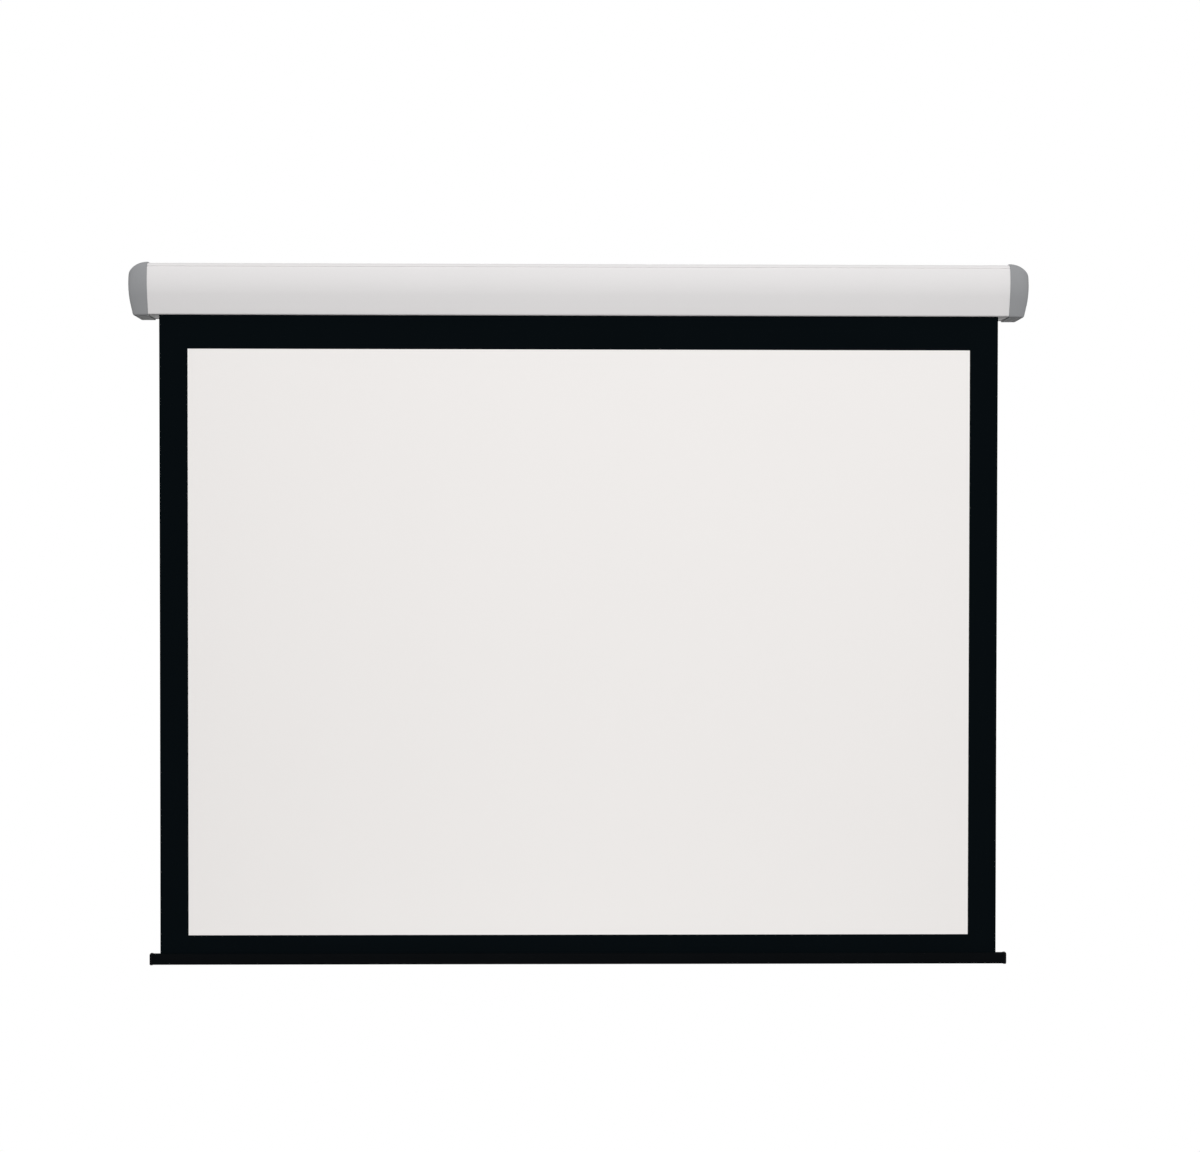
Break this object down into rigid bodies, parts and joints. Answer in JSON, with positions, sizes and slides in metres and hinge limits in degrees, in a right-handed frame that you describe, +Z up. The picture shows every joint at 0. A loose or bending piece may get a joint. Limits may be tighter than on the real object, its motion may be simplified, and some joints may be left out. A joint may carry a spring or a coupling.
{
  "type": "motorised projection screen",
  "caption": "Wall hung projection screen with a black bordered 4:3 sheet that rolls down out of a long D section case, driven by a tube motor.",
  "frame": {"origin": "on the flat land of the case's back, where it meets the wall, at the middle of its length", "axes": "+X along the case to the right as seen by the viewer, +Y into the wall, -Y towards the viewer, +Z up"},
  "size_m": [1.652, 0.0924, 1.2975],
  "materials": {
    "case_paint": "satin",
    "cap_plastic": "satin",
    "zinc_steel": "satin",
    "bright_steel": "satin",
    "dark_plastic": "matte",
    "lead_rubber": "matte",
    "bar_cap_plastic": "satin",
    "white_plastic": "satin",
    "yellow_plastic": "satin",
    "screen_vinyl": "matte",
    "mask_black": "matte",
    "bar_black": "satin"
  },
  "bodies": {
    "case": {"case_extrusion": "case_paint", "end_plate_left": "zinc_steel", "end_plate_right": "zinc_steel", "end_cap_left": "cap_plastic", "end_cap_right": "cap_plastic", "plate_screw_1_left": "bright_steel", "plate_screw_1_right": "bright_steel", "plate_screw_2_left": "bright_steel", "plate_screw_2_right": "bright_steel", "plate_screw_3_left": "bright_steel", "plate_screw_3_right": "bright_steel", "plate_screw_4_left": "bright_steel", "plate_screw_4_right": "bright_steel", "motor_head": "dark_plastic", "motor_clip": "bright_steel", "motor_tube": "bright_steel", "motor_lead": "lead_rubber", "cable_bushing": "dark_plastic", "idler_pin": "bright_steel", "screen_sheet": "screen_vinyl", "mask_border": "mask_black"},
    "bracket_left": {"wall_bracket_left": "zinc_steel", "bracket_screw_left": "bright_steel"},
    "bracket_right": {"wall_bracket_right": "zinc_steel", "bracket_screw_right": "bright_steel"},
    "adjuster_up": {"limit_adjuster_up": "white_plastic"},
    "adjuster_down": {"limit_adjuster_down": "yellow_plastic"},
    "roller": {"output_shaft": "bright_steel", "drive_wheel": "dark_plastic", "motor_crown": "dark_plastic", "roller_tube": "zinc_steel", "key_rod": "white_plastic", "cloth_turns": "screen_vinyl", "idler_plug": "dark_plastic", "idler_bush": "white_plastic"},
    "bar": {"bottom_bar": "bar_black", "hem_rod": "bright_steel", "weight_rod": "bright_steel", "bar_end_cap_left": "bar_cap_plastic", "bar_end_cap_right": "bar_cap_plastic"}
  },
  "joints": [
    {"name": "screen_travel", "type": "slide", "parent": "case", "child": "bar", "axis": [0, 0, 1], "range_m": [0, 1.168], "deforming": ["screen_sheet", "mask_border"]},
    {"name": "roller_turn", "type": "hinge", "parent": "case", "child": "roller", "pos_m": [0, -0.045, 0], "axis": [1, 0, 0], "range_deg": [-2480, 0]},
    {"name": "bracket_left_slide", "type": "slide", "parent": "case", "child": "bracket_left", "axis": [1, 0, 0], "range_m": [-0.23, 0.44]},
    {"name": "bracket_right_slide", "type": "slide", "parent": "case", "child": "bracket_right", "axis": [1, 0, 0], "range_m": [-0.44, 0.23]},
    {"name": "upper_limit_adjust", "type": "hinge", "parent": "case", "child": "adjuster_up", "pos_m": [-0.787, -0.0305, -0.00725], "axis": [1, 0, 0], "continuous": true},
    {"name": "lower_limit_adjust", "type": "hinge", "parent": "case", "child": "adjuster_down", "pos_m": [-0.787, -0.0595, -0.00725], "axis": [1, 0, 0], "continuous": true}
  ],
  "couplings": [
    {"joint": "roller_turn", "follows": "screen_travel", "rad_per_m": -36.955}
  ]
}
